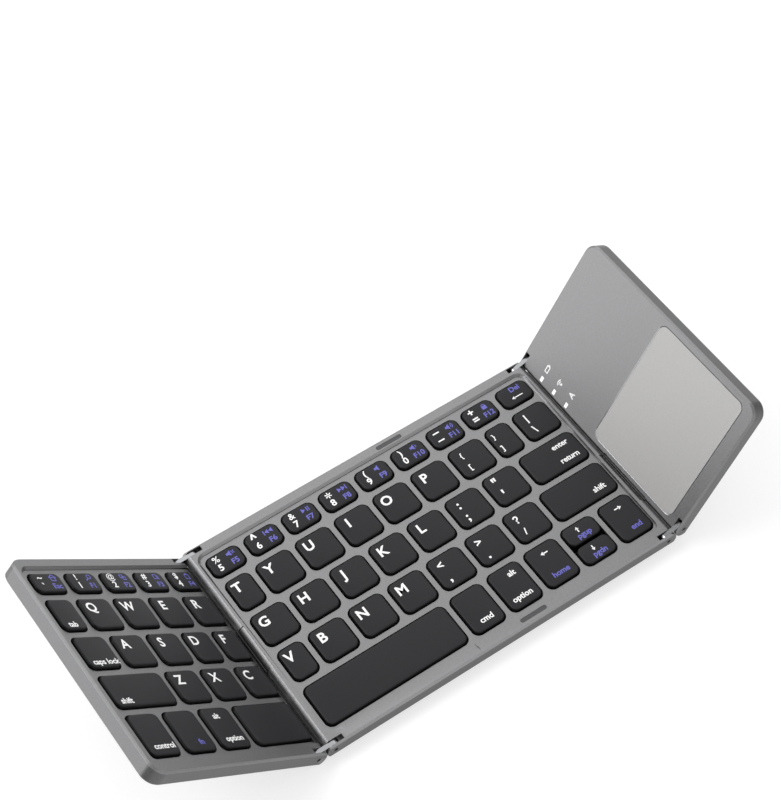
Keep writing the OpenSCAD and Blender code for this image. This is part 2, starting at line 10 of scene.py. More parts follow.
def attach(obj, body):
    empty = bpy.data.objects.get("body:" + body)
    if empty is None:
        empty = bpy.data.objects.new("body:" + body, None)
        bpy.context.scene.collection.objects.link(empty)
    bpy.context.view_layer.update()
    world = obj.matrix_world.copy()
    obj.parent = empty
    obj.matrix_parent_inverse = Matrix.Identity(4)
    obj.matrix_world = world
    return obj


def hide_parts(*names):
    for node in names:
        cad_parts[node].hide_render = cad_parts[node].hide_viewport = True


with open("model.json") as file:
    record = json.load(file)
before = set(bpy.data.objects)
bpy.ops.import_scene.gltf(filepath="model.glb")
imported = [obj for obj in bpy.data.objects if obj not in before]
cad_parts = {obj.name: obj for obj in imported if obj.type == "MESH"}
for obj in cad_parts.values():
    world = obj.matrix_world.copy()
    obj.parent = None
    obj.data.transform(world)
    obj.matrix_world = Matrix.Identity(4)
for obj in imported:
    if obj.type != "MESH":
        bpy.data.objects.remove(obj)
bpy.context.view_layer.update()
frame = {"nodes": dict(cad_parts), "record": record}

MM = 0.001
joints = {j["name"]: j for j in frame["record"]["behaviour"]["joints"]}

# ---------------------------------------------------------------- sizes, in millimetres
BODY_T = 6.6          # panel thickness without feet
FOOT_H = 0.8          # rubber feet
MID_Z = BODY_T / 2
KEY_GAP, ROW_GAP, KEY_R = 3.0, 3.2, 2.6
KEY_TOP_R = 0.95      # roll of the keycap's upper edge
KEY_H = 3.0
ROW_H = [9.4, 14.5, 14.5, 14.5, 18.2]
ROW_BACK = 41.9
CENTER_X0 = [-73.5, -72.8, -73.15, -72.8, -73.15]
CENTER_X1 = 74.1
LEFT_S0, LEFT_S1 = -0.85, 80.65
SPLIT_GAP = 1.0       # between the two half-height arrow keys


def filled(start, end, first, same, last):
    """Key widths of a row: the equal keys share what the others leave free."""
    gaps = (len(first) + same + len(last) - 1) * KEY_GAP
    return first + [(end - start - gaps - sum(first) - sum(last)) / same] * same + last


CENTER_W = [filled(x0, CENTER_X1, *row) for x0, row in zip(CENTER_X0, [
    ([], 9, []), ([10.3], 6, [10.3, 14.8]), ([14.3], 6, [24.7]), ([10.3], 6, [28.2]),
    ([], 1, [13.9, 14.0, 14.3, 14.6, 14.1])])]
LEFT_W = [filled(LEFT_S0, LEFT_S1, *row) for row in [
    ([13.4], 4, []), ([13.8], 3, [11.4]), ([11.8, 13], 2, [14.9]), ([14], 2, [28.8]),
    ([], 1, [14.4, 14.5, 14.3])]]


def joint_place(name):
    """Where a hinge joint's axis crosses the section of the keyboard, in millimetres."""
    x, y, z = joints[name]["pos_m"]
    return Vector((x / MM, 0, z / MM))


LEFT_TILT = math.radians(-joints["left_outer_hinge"]["range_deg"][0])
RIGHT_TILT = math.radians(-joints["right_outer_hinge"]["range_deg"][0]
                          - joints["right_inner_hinge"]["range_deg"][0])
ABOUT_Y = Vector((0, 1, 0))
TO_M = Matrix.Scale(MM, 4)
DOWN_HALF = Matrix.Translation((0, 0, -MID_Z))
# panel coordinates to the row frame; on the left wing x runs towards the middle panel
CENTER = TO_M @ Matrix.Translation((0, 0, FOOT_H))
LEFT = (TO_M @ Matrix.Translation(joint_place("left_outer_hinge"))
        @ Matrix.Rotation(LEFT_TILT, 4, ABOUT_Y) @ DOWN_HALF)
RIGHT = (TO_M @ Matrix.Translation(joint_place("right_outer_hinge"))
         @ Matrix.Rotation(-RIGHT_TILT, 4, ABOUT_Y) @ DOWN_HALF)


# ---------------------------------------------------------------- materials
def linear(code):
    """An sRGB hex value as a linear colour."""
    parts = [int(code[i:i + 2], 16) / 255 for i in (1, 3, 5)]
    return tuple(c / 12.92 if c <= 0.04045 else ((c + 0.055) / 1.055) ** 2.4 for c in parts) + (1,)


def node(tree, kind, links=(), **values):
    """Adds one node. links are (input, output socket); values set inputs or properties."""
    made = tree.nodes.new(kind)
    for name, value in values.items():
        key = name.replace("_", " ")
        found = [s for s in made.inputs if s.name.lower() == key.lower()]
        if found:
            found[0].default_value = value
        else:
            setattr(made, name, value)
    for target, source in links:
        tree.links.new(made.inputs[target], source)
    return made


def material(name, color, rough, metallic=0.0, **shader_values):
    """A material with a principled shader; returns it with its tree and shader."""
    made = bpy.data.materials.new(name)
    made.use_nodes = True
    shader = made.node_tree.nodes["Principled BSDF"]
    shader.inputs["Base Color"].default_value = linear(color)
    shader.inputs["Roughness"].default_value = rough
    shader.inputs["Metallic"].default_value = metallic
    for key, value in shader_values.items():
        shader.inputs[key.replace("_", " ")].default_value = value
    made.diffuse_color = linear(color)
    return made, made.node_tree, shader


def grain(tree, shader, size_mm, colors=None, rough=None, bump=0.0, stretch=(1, 1, 1), detail=3.0):
    """Noise of one real size on the colour, the roughness and the surface."""
    place = node(tree, "ShaderNodeTexCoord")
    mapping = node(tree, "ShaderNodeMapping", [("Vector", place.outputs["Object"])],
                   Scale=tuple(1000.0 / size_mm * s for s in stretch))
    noise = node(tree, "ShaderNodeTexNoise", [("Vector", mapping.outputs["Vector"])],
                 Scale=1.0, Detail=detail, Roughness=0.6)
    if colors:
        ramp = node(tree, "ShaderNodeValToRGB", [("Fac", noise.outputs["Fac"])])
        ramp.color_ramp.elements[0].position, ramp.color_ramp.elements[1].position = 0.3, 0.7
        ramp.color_ramp.elements[0].color = linear(colors[0])
        ramp.color_ramp.elements[1].color = linear(colors[1])
        tree.links.new(shader.inputs["Base Color"], ramp.outputs["Color"])
    if rough:
        span = node(tree, "ShaderNodeMapRange", [("Value", noise.outputs["Fac"])],
                    From_Min=0.3, From_Max=0.7, To_Min=rough[0], To_Max=rough[1])
        tree.links.new(shader.inputs["Roughness"], span.outputs["Result"])
    if bump:
        relief = node(tree, "ShaderNodeBump", [("Height", noise.outputs["Fac"])],
                      Strength=0.5, Distance=bump * MM)
        tree.links.new(shader.inputs["Normal"], relief.outputs["Normal"])


# Bead-blasted, grey anodised aluminium: a soft sheen that takes the tone of what it faces.
CASING, tree, shader = material("anodised_aluminium_blasted", "#838384", 0.47, 1.0)
grain(tree, shader, 0.55, ("#7c7c7d", "#8a8a8b"), (0.42, 0.52), 0.010)
# The same aluminium on the bottom covers, a little finer and darker.
COVER, tree, shader = material("anodised_aluminium_satin", "#626263", 0.34, 1.0)
grain(tree, shader, 0.5, ("#5d5d5e", "#676768"), (0.30, 0.40), 0.008)
# Moulded ABS keycaps, spark-eroded mould: near black, a dull sheen and a very fine grit.
KEYCAP, tree, shader = material("abs_moulded_fine_matte", "#2a2a2c", 0.42, IOR=1.5,
                                Specular_IOR_Level=0.13)
grain(tree, shader, 0.35, ("#272729", "#2d2d2f"), (0.38, 0.47), 0.008)
# The same ABS on the side walls, smoother as from a polished part of the mould; their near-black
# colour is painted shade: a black line round each key.
PAINTED_SKIRT_SHADE, tree, shader = material("abs_side_wall_painted_shade", "#0e0e0f", 0.3, IOR=1.5,
                               Specular_IOR_Level=0.1)
grain(tree, shader, 0.35, ("#0c0c0d", "#111112"), (0.26, 0.35), 0.002)
# White ink printed on the keycaps: flat, slightly uneven coverage.
WHITE_INK, tree, shader = material("printed_ink_white", "#f4f4f4", 0.5)
grain(tree, shader, 0.9, ("#ececec", "#fbfbfb"), (0.45, 0.6))
# Blue-violet ink of the second layer.
BLUE_INK, tree, shader = material("printed_ink_blue", "#6260ba", 0.5)
grain(tree, shader, 0.9, ("#5a58b0", "#6a68c2"), (0.45, 0.6))
# Nickel plated, barrel-polished steel links: brighter than the casing, with a soft mirror.
NICKEL, tree, shader = material("nickel_plated_polished", "#8e8f91", 0.22, 1.0)
grain(tree, shader, 1.2, None, (0.17, 0.27), 0.002, (1, 6, 1))
# Ground steel pins, key plates and screws.
STEEL, tree, shader = material("steel_ground", "#8d8e92", 0.32, 1.0)
grain(tree, shader, 0.6, ("#85868a", "#96979b"), (0.26, 0.4), 0.004, (1, 8, 1))
# Blackened key plates: they keep the gaps around the keys dark.
BLACKED, tree, shader = material("steel_blackened", "#1c1c1e", 0.55, 0.6)
grain(tree, shader, 0.6, ("#19191b", "#202022"), (0.48, 0.62), 0.004)
# Brighter, shinier aluminium on the bevel around the touchpad: a painted highlight, a thin bright
# line.
PAD_BEVEL_HIGHLIGHT, tree, shader = material("aluminium_bevel_painted_highlight", "#c9c9ca", 0.22, 1.0)
grain(tree, shader, 0.8, ("#c2c2c3", "#d0d0d1"), (0.18, 0.27), 0.002, (1, 6, 1))
# Frosted film over the touchpad: pale, smooth, with a wide soft sheen.
PAD, tree, shader = material("pet_film_frosted", "#a6a5a4", 0.34, IOR=1.5, Coat_Weight=0.15,
                             Coat_Roughness=0.3)
grain(tree, shader, 0.7, ("#a3a2a1", "#a9a8a7"), (0.30, 0.38), 0.002)
# Moulded silicone rubber of the feet and cable strips: dark and dull.
RUBBER, tree, shader = material("silicone_rubber_moulded", "#2a2a2c", 0.72)
grain(tree, shader, 0.6, ("#262628", "#303032"), (0.66, 0.8), 0.01)
# Dark moulded polycarbonate inserts in the rims.
INSERT, tree, shader = material("polycarbonate_moulded_satin", "#3d3d3f", 0.4)
grain(tree, shader, 0.5, ("#39393b", "#434345"), (0.36, 0.46), 0.006)
# Opal polycarbonate light guides: white and slightly lit from inside.
LENS, tree, shader = material("polycarbonate_opal", "#f6f6f4", 0.35, Emission_Strength=0.25)
shader.inputs["Emission Color"].default_value = linear("#ffffff")
grain(tree, shader, 0.8, ("#f2f2f0", "#fafaf8"), (0.3, 0.4))
# Natural acetal of the key guides.
ACETAL, tree, shader = material("acetal_moulded_natural", "#dcdcd6", 0.42)
grain(tree, shader, 0.6, ("#d6d6d0", "#e2e2dc"), (0.36, 0.5), 0.006)
# Printed polyester circuit film and solder-resist boards.
FILM, tree, shader = material("polyester_film_printed", "#3f5d49", 0.4)
grain(tree, shader, 2.5, ("#385541", "#4b6a55"), (0.34, 0.48))
BOARD, tree, shader = material("fr4_solder_resist", "#1c4a30", 0.3)
grain(tree, shader, 1.6, ("#184229", "#235538"), (0.24, 0.38), 0.01)
# Aluminium laminate pouch of the battery.
POUCH, tree, shader = material("pouch_foil_laminate", "#b9bbbe", 0.35, 1.0)
grain(tree, shader, 1.5, ("#b0b2b5", "#c2c4c7"), (0.28, 0.42), 0.02)
FINISH = {
    "center_top_frame": CASING, "left_top_frame": CASING, "right_top_cover": CASING,
    "center_bottom_cover": COVER, "left_bottom_cover": COVER, "right_bottom_cover": COVER,
    "left_hinge_links": NICKEL, "right_hinge_links": NICKEL, "touchpad": PAD,
    "touchpad_board": BOARD, "main_board": BOARD, "battery": POUCH, "indicator_lenses": LENS,
    "rim_pads": INSERT, "left_flex_cable": RUBBER, "right_flex_cable": RUBBER,
    "center_feet": RUBBER, "left_feet": RUBBER, "right_feet": RUBBER,
    "center_key_supports": ACETAL, "left_key_supports": ACETAL,
    "center_key_membrane": FILM, "left_key_membrane": FILM,
    "center_key_plate": BLACKED, "left_key_plate": BLACKED,
}
for name, cad in frame["nodes"].items():
    cad.data.materials.clear()
    cad.data.materials.append(FINISH.get(name, KEYCAP if name.startswith("key") else STEEL))


# ---------------------------------------------------------------- pieces
SMOOTH_ANGLE = 35     # degrees; steeper corners of a drawn piece stay sharp


def finish_piece(name, bm, materials, body, replaced=(), smooth=SMOOTH_ANGLE):
    """Makes the object of a finished bmesh that already lies in the row frame."""
    mesh = bpy.data.meshes.new(name)
    bm.to_mesh(mesh)
    bm.free()
    for m in materials:
        mesh.materials.append(m)
    made = bpy.data.objects.new(name, mesh)
    bpy.context.scene.collection.objects.link(made)
    if smooth:
        mesh.shade_smooth()
        mesh.set_sharp_from_angle(angle=math.radians(smooth))
    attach(made, body)
    if replaced:
        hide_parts(*replaced)
    return made


KEY_WALL = 1.0         # wall and top thickness of the hollow keycaps
FLAT = 0.9             # upward part of the normal of a face taken as level
SKIRT_SHADE_SLOT = 3         # place of the painted side wall shade in a keycap's list
SHADED_SKIRT_SLOPE = 0.75     # faces steeper than this upward part of their normal are side wall, in painted shade


def add_keycap(target, x0, x1, y0, y1, place):
    """One keycap: rounded corners, a rolled upper edge, a hollow underside and side walls in
    painted shade.
    """
    bm = bmesh.new()
    bmesh.ops.create_cube(bm, size=1)
    w, d = x1 - x0, y1 - y0
    bmesh.ops.scale(bm, vec=(w, d, KEY_H), verts=bm.verts)
    upright = [e for e in bm.edges if abs(e.verts[1].co.z - e.verts[0].co.z) > KEY_H / 2]
    bmesh.ops.bevel(bm, geom=upright, offset=KEY_R, segments=7, affect="EDGES", profile=0.5,
                    material=-1)
    top = [f for f in bm.faces if f.normal.z > FLAT]
    rim = [e for f in top for e in f.edges]
    bmesh.ops.bevel(bm, geom=rim, offset=KEY_TOP_R, segments=5, affect="EDGES", profile=0.5,
                    material=-1)
    low = [f for f in bm.faces if f.normal.z < -FLAT]
    bmesh.ops.inset_region(bm, faces=low, thickness=KEY_WALL)
    # the inset leaves one face of many corners inside its ring of quads
    low = [f for f in bm.faces if f.normal.z < -FLAT and len(f.verts) > 6]
    bmesh.ops.translate(bm, vec=(0, 0, KEY_H - KEY_WALL), verts=[v for f in low for v in f.verts])
    bmesh.ops.translate(bm, vec=((x0 + x1) / 2, (y0 + y1) / 2, BODY_T - KEY_H / 2),
                        verts=bm.verts)
    bmesh.ops.recalc_face_normals(bm, faces=bm.faces)
    # steep side faces take the painted shade, the others the top finish
    for f in bm.faces:
        f.material_index = SKIRT_SHADE_SLOT if abs(f.normal.z) < SHADED_SKIRT_SLOPE else 0
    join(target, bm, place)


def join(target, bm, place, slot_number=None):
    """Adds a bmesh in panel millimetres to a target in the row frame."""
    bmesh.ops.transform(bm, matrix=place, verts=bm.verts)
    if slot_number is not None:
        for f in bm.faces:
            f.material_index = slot_number
    mesh = bpy.data.meshes.new("part")
    bm.to_mesh(mesh)
    bm.free()
    target.from_mesh(mesh)
    bpy.data.meshes.remove(mesh)


INK_Z = BODY_T + 0.02    # prints lie this high, just clear of the surface
CAP_SHARE = 0.72         # cap height of the font as a share of its size
LETTER_SPACE = 0.98
PLATE_WEIGHT, KEY_WEIGHT = 0.040, 0.034    # how much bolder prints are, as a share of the size


def add_text(target, words, size, x, y, place, slot_number, weight=PLATE_WEIGHT):
    """Flat printed lettering in panel millimetres; size is the cap height."""
    curve = bpy.data.curves.new("words", "FONT")
    curve.body = words
    curve.size = size / CAP_SHARE
    curve.offset = weight * size
    curve.resolution_u = 3
    curve.align_x, curve.align_y = "CENTER", "CENTER"
    curve.space_character = LETTER_SPACE
    holder = bpy.data.objects.new("words", curve)
    bpy.context.scene.collection.objects.link(holder)
    shaped = holder.evaluated_get(bpy.context.evaluated_depsgraph_get())
    mesh = bpy.data.meshes.new_from_object(shaped)
    bm = bmesh.new()
    bm.from_mesh(mesh)
    bpy.data.objects.remove(holder)
    bpy.data.curves.remove(curve)
    bpy.data.meshes.remove(mesh)
    bmesh.ops.translate(bm, vec=(x, y, INK_Z), verts=bm.verts)
    join(target, bm, place, slot_number)


def add_shape(target, loops, x, y, place, slot_number, size=1.0):
    """Flat printed icon from closed outlines, each a list of points about its own centre."""
    for loop in loops:
        bm = bmesh.new()
        verts = [bm.verts.new((x + px * size, y + py * size, INK_Z)) for px, py in loop]
        bm.faces.new(verts)
        bmesh.ops.triangulate(bm, faces=bm.faces)
        bmesh.ops.recalc_face_normals(bm, faces=bm.faces)
        join(target, bm, place, slot_number)


def box_loop(x0, x1, y0, y1):
    """A filled rectangle."""
    return [(x0, y0), (x1, y0), (x1, y1), (x0, y1)]


def frame_loops(x0, x1, y0, y1, t):
    """A hollow rectangle as four bars."""
    return [box_loop(x0, x1, y0, y0 + t), box_loop(x0, x1, y1 - t, y1),
            box_loop(x0, x0 + t, y0 + t, y1 - t), box_loop(x1 - t, x1, y0 + t, y1 - t)]


def ring_loops(cx, cy, r, t, a0=0.0, a1=360.0, steps=16):
    """An arc of a ring as short quads."""
    out = []
    for i in range(steps):
        a, b = (math.radians(a0 + (a1 - a0) * (i + k) / steps) for k in (0, 1))
        out.append([(cx + (r - t) * math.cos(a), cy + (r - t) * math.sin(a)),
                    (cx + r * math.cos(a), cy + r * math.sin(a)),
                    (cx + r * math.cos(b), cy + r * math.sin(b)),
                    (cx + (r - t) * math.cos(b), cy + (r - t) * math.sin(b))])
    return out


def bar_loop(x0, y0, x1, y1, t):
    """A straight bar of width t between two points."""
    dx, dy = x1 - x0, y1 - y0
    n = math.hypot(dx, dy)
    ox, oy = -dy / n * t / 2, dx / n * t / 2
    return [(x0 + ox, y0 + oy), (x0 - ox, y0 - oy), (x1 - ox, y1 - oy), (x1 + ox, y1 + oy)]


TRI_RIGHT = [(-0.5, -0.8), (0.7, 0), (-0.5, 0.8)]
TRI_LEFT = [(0.5, -0.8), (0.5, 0.8), (-0.7, 0)]


def moved(loop, dx):
    """The outline moved sideways."""
    return [(px + dx, py) for px, py in loop]


SPEAKER = [box_loop(-1.3, -0.7, -0.4, 0.4), [(-0.7, -0.4), (0.1, -1.0), (0.1, 1.0), (-0.7, 0.4)]]
ICONS = {
    "house": [bar_loop(-1.3, 0.1, 0, 1.2, 0.32), bar_loop(0, 1.2, 1.3, 0.1, 0.32)]
             + frame_loops(-0.9, 0.9, -1.1, 0.3, 0.28),
    "glass": ring_loops(0.3, 0.3, 0.85, 0.28) + [bar_loop(-0.3, -0.3, -1.1, -1.1, 0.36)],
    "windows": frame_loops(-1.0, 0.4, -0.4, 1.0, 0.26) + frame_loops(-0.3, 1.1, -1.1, 0.3, 0.26),
    "copy": frame_loops(-1.0, 0.5, -0.9, 0.9, 0.26) + [box_loop(0.7, 1.0, -1.1, 0.5)],
    "paste": frame_loops(-0.9, 0.9, -1.1, 0.8, 0.26) + [box_loop(-0.4, 0.4, 0.8, 1.15)],
    "mute": SPEAKER + [bar_loop(0.4, -0.5, 1.2, 0.5, 0.28), bar_loop(0.4, 0.5, 1.2, -0.5, 0.28)],
    "back": [box_loop(-1.5, -1.2, -0.8, 0.8), moved(TRI_LEFT, -0.4), moved(TRI_LEFT, 0.9)],
    "play": [moved(TRI_RIGHT, -0.7), box_loop(0.4, 0.7, -0.8, 0.8), box_loop(1.0, 1.3, -0.8, 0.8)],
    "next": [moved(TRI_RIGHT, -0.9), moved(TRI_RIGHT, 0.4), box_loop(1.2, 1.5, -0.8, 0.8)],
    "quiet": SPEAKER,
    "louder": SPEAKER + ring_loops(0.1, 0, 0.75, 0.24, -50, 50, 5),
    "loudest": SPEAKER + ring_loops(0.1, 0, 0.75, 0.24, -50, 50, 5)
               + ring_loops(0.1, 0, 1.25, 0.24, -50, 50, 6),
    "lock": [box_loop(-0.8, 0.8, -1.0, 0.3)] + ring_loops(0, 0.35, 0.62, 0.24, 0, 180, 8),
    "wave": ring_loops(0, -0.9, 0.6, 0.6, 0, 360, 10) + ring_loops(0, -0.9, 1.45, 0.45, 40, 140, 8)
            + ring_loops(0, -0.9, 2.3, 0.45, 40, 140, 10),
    "battery": frame_loops(-1.9, 1.5, -1.0, 1.0, 0.46) + [box_loop(1.5, 2.0, -0.45, 0.45)],
    "left": [bar_loop(-0.6, 0, 1.5, 0, 0.5), [(-1.7, 0), (-0.4, -0.9), (-0.4, 0.9)]],
    "right": [bar_loop(-1.5, 0, 0.6, 0, 0.5), [(0.4, -0.9), (1.7, 0), (0.4, 0.9)]],
    "up": [bar_loop(0, -1.3, 0, 0.4, 0.5), [(-0.85, 0.2), (0.85, 0.2), (0, 1.4)]],
    "down": [bar_loop(0, -0.4, 0, 1.3, 0.5), [(-0.85, -0.2), (0, -1.4), (0.85, -0.2)]],
    "dash": [bar_loop(-1.4, 0, 1.4, 0, 0.6)],
    "star": [bar_loop(0, -1.4, 0, 1.4, 0.44), bar_loop(-1.2, -0.7, 1.2, 0.7, 0.44),
             bar_loop(-1.2, 0.7, 1.2, -0.7, 0.44)],
    "query": ring_loops(0, 0.7, 1.05, 0.6, -80, 175, 14)
             + [box_loop(-0.3, 0.3, -0.85, -0.05), box_loop(-0.32, 0.32, -1.75, -1.15)],
    "erase": [bar_loop(-1.6, 0, 2.4, 0, 0.42), [(-2.7, 0), (-1.4, -0.75), (-1.4, 0.75)]],
}

# cap heights, and where the marks of a key lie from its middle
LETTER, DIGIT, SIGN, WORD, SMALL, PAIR = 4.2, 2.9, 2.8, 2.4, 2.35, 3.3
LETTER_X, NARROW_X, LETTER_Y = -3.1, -1.8, 2.6
PAIR_X, PAIR_HIGH, PAIR_LOW = -3.1, 3.0, -3.1
NUMBER_X, SIGN_Y, DIGIT_Y = -3.0, 2.2, -1.7
# signs drawn as shapes, where the font's own ones are too faint
DRAWN = {"_": "dash", "-": "dash", "*": "star", "?": "query"}
# signs that the font draws smaller or larger than they are printed
GLYPH_SCALE = {"^": 1.4, "+": 1.2, "=": 1.2, ":": 1.25, ";": 1.25, '"': 1.3, "'": 1.3,
               "{": 0.68, "}": 0.68, "[": 0.72, "]": 0.72, "/": 0.85, ",": 1.2, ".": 1.3}
# crowded signs are printed thinner
GLYPH_WEIGHT = {"@": 0.006, "&": 0.02, "%": 0.016}
ON_NARROW_KEYS = "TV"
WHITE, BLUE = 1, 2     # places of the inks in a keycap's list


def row_span(row):
    """Front and back of a key row."""
    y1 = ROW_BACK - sum(ROW_H[:row]) - row * ROW_GAP
    return y1 - ROW_H[row], y1


def key_span(widths, start, row, i):
    """Both sides of a key, counted from the start of its row."""
    x0 = start + sum(widths[row][:i]) + i * KEY_GAP
    return x0, x0 + widths[row][i]


# A mark is (kind, what, size, x, y, ink), placed from the middle of its key.
def letter(ch):
    """The mark of a letter key."""
    x = NARROW_X if ch in ON_NARROW_KEYS else LETTER_X
    return [("text", ch, LETTER, x, LETTER_Y, WHITE)]


def sign_mark(sign, size, x, y):
    """The mark of a white sign."""
    if sign in DRAWN:
        return ("icon", DRAWN[sign], 1.0, x, y, WHITE)
    return ("text", sign, size, x, y, WHITE)


def pair(upper, lower):
    """The marks of a key with two signs."""
    return [sign_mark(upper, PAIR, PAIR_X, PAIR_HIGH), sign_mark(lower, PAIR, PAIR_X, PAIR_LOW)]


def number(upper, lower, label, icon):
    """The marks of a number key with its second layer in blue."""
    return [sign_mark(upper, SIGN, NUMBER_X, SIGN_Y), sign_mark(lower, DIGIT, NUMBER_X, DIGIT_Y),
            ("text", label, SMALL, 3.1, -1.9, BLUE), ("icon", icon, 1.3, 3.0, 2.0, BLUE)]


LEGENDS = {
    ("center", 0): [number("%", "5", "F5", "mute"), number("^", "6", "F6", "back"),
                    number("&", "7", "F7", "play"), number("*", "8", "F8", "next"),
                    number("(", "9", "F9", "quiet"), number(")", "0", "F10", "louder"),
                    number("_", "-", "F11", "loudest"), number("+", "=", "F12", "lock"),
                    [("text", "Del", SMALL, 1.2, 2.2, BLUE),
                     ("icon", "erase", 1.0, 0.3, -1.6, WHITE)]],
    ("center", 1): [letter(c) for c in "TYUIOP"] + [pair("{", "["), pair("}", "]"),
                                                    pair("|", "\\")],
    ("center", 2): [letter(c) for c in "GHJKL"] + [pair(":", ";"), pair('"', "'"),
                    [("text", "enter", WORD, 5.0, 3.4, WHITE),
                     ("text", "return", WORD, 5.0, -3.4, WHITE)]],
    ("center", 3): [letter(c) for c in "VBNM"] + [pair("<", ","), pair(">", "."), pair("?", "/"),
                    [("text", "shift", WORD, 7.2, -3.3, WHITE)]],
    ("center", 4): [[], [("text", "cmd", WORD, 0.4, -5.1, WHITE)],
                    [("text", "alt", WORD, 2.0, 5.0, WHITE),
                     ("text", "option", WORD, -0.2, -5.1, WHITE)],
                    [("icon", "left", 1.0, 0.2, 4.9, WHITE),
                     ("text", "home", SMALL, 0.6, -5.0, BLUE)],
                    [],
                    [("icon", "right", 1.0, 0.0, 4.9, WHITE),
                     ("text", "end", SMALL, 1.4, -5.0, BLUE)]],
    ("left", 0): [number("$", "4", "F4", "paste"), number("#", "3", "F3", "copy"),
                  number("@", "2", "F2", "windows"), number("!", "1", "F1", "glass"),
                  number("~", "`", "Esc", "house")],
    ("left", 1): [letter(c) for c in "REWQ"] + [[("text", "tab", WORD, -0.8, -4.9, WHITE)]],
    ("left", 2): [letter(c) for c in "FDSA"] + [[("text", "caps lock", WORD, 0.6, -4.7, WHITE)]],
    ("left", 3): [letter(c) for c in "CXZ"] + [[("text", "shift", WORD, -9.2, -4.7, WHITE)]],
    ("left", 4): [[], [("text", "alt", WORD, -1.2, 5.0, WHITE),
                       ("text", "option", WORD, 0.4, -5.2, WHITE)],
                  [("text", "fn", WORD, 1.4, -5.2, BLUE)],
                  [("text", "control", WORD, 0.8, -5.3, WHITE)]],
}
ARROW_UP = [("icon", "up", 0.9, -0.9, 1.2, WHITE), ("text", "pgup", SMALL, 0.4, -1.6, BLUE)]
ARROW_DOWN = [("icon", "down", 0.9, -0.9, 1.2, WHITE), ("text", "pgdn", SMALL, 0.4, -1.6, BLUE)]
# the node of every key, row by row; the left rows run outwards from the hinge
CENTER_NODES = [["keys_number_center"] * 9, ["keys_upper_center"] * 8 + ["key_backslash"],
                ["keys_home_center"] * 7 + ["key_enter"],
                ["keys_lower_center"] * 7 + ["key_shift_right"],
                ["key_space_right", "key_modifier", "key_alt_right", "key_arrow_left", "split",
                 "key_arrow_right"]]
LEFT_NODES = [["keys_number_left"] * 5, ["keys_upper_left"] * 4 + ["key_tab"],
              ["keys_home_left"] * 4 + ["key_caps_lock"],
              ["keys_lower_left"] * 3 + ["key_shift_left"],
              ["key_space_left", "key_alt_left", "key_fn", "key_control"]]

caps = {}


def print_legend(target, marks, x, y, place):
    """Prints a key's marks about its middle."""
    for kind, what, size, dx, dy, ink in marks:
        if kind == "text":
            add_text(target, what, size * GLYPH_SCALE.get(what, 1), x + dx, y + dy, place, ink,
                     weight=GLYPH_WEIGHT.get(what, KEY_WEIGHT))
        else:
            add_shape(target, ICONS[what], x + dx, y + dy, place, ink, size)


def add_key(node_name, x0, x1, y0, y1, place, marks):
    """Adds one printed key to the bmesh of its node."""
    target = caps.setdefault(node_name, bmesh.new())
    add_keycap(target, x0, x1, y0, y1, place)
    print_legend(target, marks, (x0 + x1) / 2, (y0 + y1) / 2, place)


for row in range(5):
    y0, y1 = row_span(row)
    for i in range(len(CENTER_W[row])):
        x0, x1 = key_span(CENTER_W, CENTER_X0[row], row, i)
        if CENTER_NODES[row][i] == "split":
            half = (ROW_H[row] - SPLIT_GAP) / 2
            add_key("key_arrow_up", x0, x1, y1 - half, y1, CENTER, ARROW_UP)
            add_key("key_arrow_down", x0, x1, y0, y0 + half, CENTER, ARROW_DOWN)
        else:
            add_key(CENTER_NODES[row][i], x0, x1, y0, y1, CENTER, LEGENDS["center", row][i])
    for i in range(len(LEFT_W[row])):
        s0, s1 = key_span(LEFT_W, LEFT_S0, row, i)
        add_key(LEFT_NODES[row][i], -s1, -s0, y0, y1, LEFT, LEGENDS["left", row][i])

for node_name, bm in caps.items():
    finish_piece("cap_" + node_name, bm, [KEYCAP, WHITE_INK, BLUE_INK, PAINTED_SKIRT_SHADE], node_name,
                 [node_name])

# ---------------------------------------------------------------- casings
EDGE_BREAK = 0.14 * MM
LINK_BREAK = 0.2 * MM
FLAT_ANGLE = math.radians(0.5)    # facets closer than this are one flat face
EDGE_ANGLE = math.radians(30)     # steeper corners are edges


def softened(node_name, body, finish, width=EDGE_BREAK, segments=2,
             cut=None, barrel=None):
    """A copy of a CAD shell, merged, its sharp edges broken as the real finish has them.

    cut is (matrix, test on a panel point, width, finish): the edges it picks are first cut at
    half a right angle, and the cut faces take the finish.
    barrel is (matrix, test on a panel point, finish): the faces it picks take the finish."""
    bm = bmesh.new()
    bm.from_mesh(frame["nodes"][node_name].data)
    bmesh.ops.remove_doubles(bm, verts=bm.verts, dist=1e-6)
    bmesh.ops.dissolve_limit(bm, angle_limit=FLAT_ANGLE, verts=bm.verts, edges=bm.edges)
    finishes = [finish]
    if cut:
        place, test, cut_width, cut_finish = cut
        back = place.inverted()
        picked = [e for e in bm.edges if all(test(back @ v.co) for v in e.verts)]
        cut_faces = bmesh.ops.bevel(bm, geom=picked, offset=cut_width * MM, segments=1,
                                    affect="EDGES", profile=0.5, material=-1)["faces"]
        if cut_finish is not finish:
            finishes.append(cut_finish)
            for f in cut_faces:
                f.material_index = 1
    if barrel:
        place, test, barrel_finish = barrel
        back = place.inverted()
        finishes.append(barrel_finish)
        for f in bm.faces:
            if all(test(back @ v.co) for v in f.verts):
                f.material_index = len(finishes) - 1
    made = finish_piece(node_name + "_finished", bm, finishes, body, [node_name], smooth=None)
    bevel = made.modifiers.new("edge", "BEVEL")
    bevel.width, bevel.segments, bevel.limit_method = width, segments, "ANGLE"
    bevel.angle_limit = EDGE_ANGLE
    bevel.harden_normals = True
    bevel.use_clamp_overlap = True
    made.data.shade_smooth()
    made.data.set_sharp_from_angle(angle=EDGE_ANGLE)
    # large flat faces keep their own direction where they run into a round
    made.modifiers.new("flats", "WEIGHTED_NORMAL").keep_sharp = True
    return made


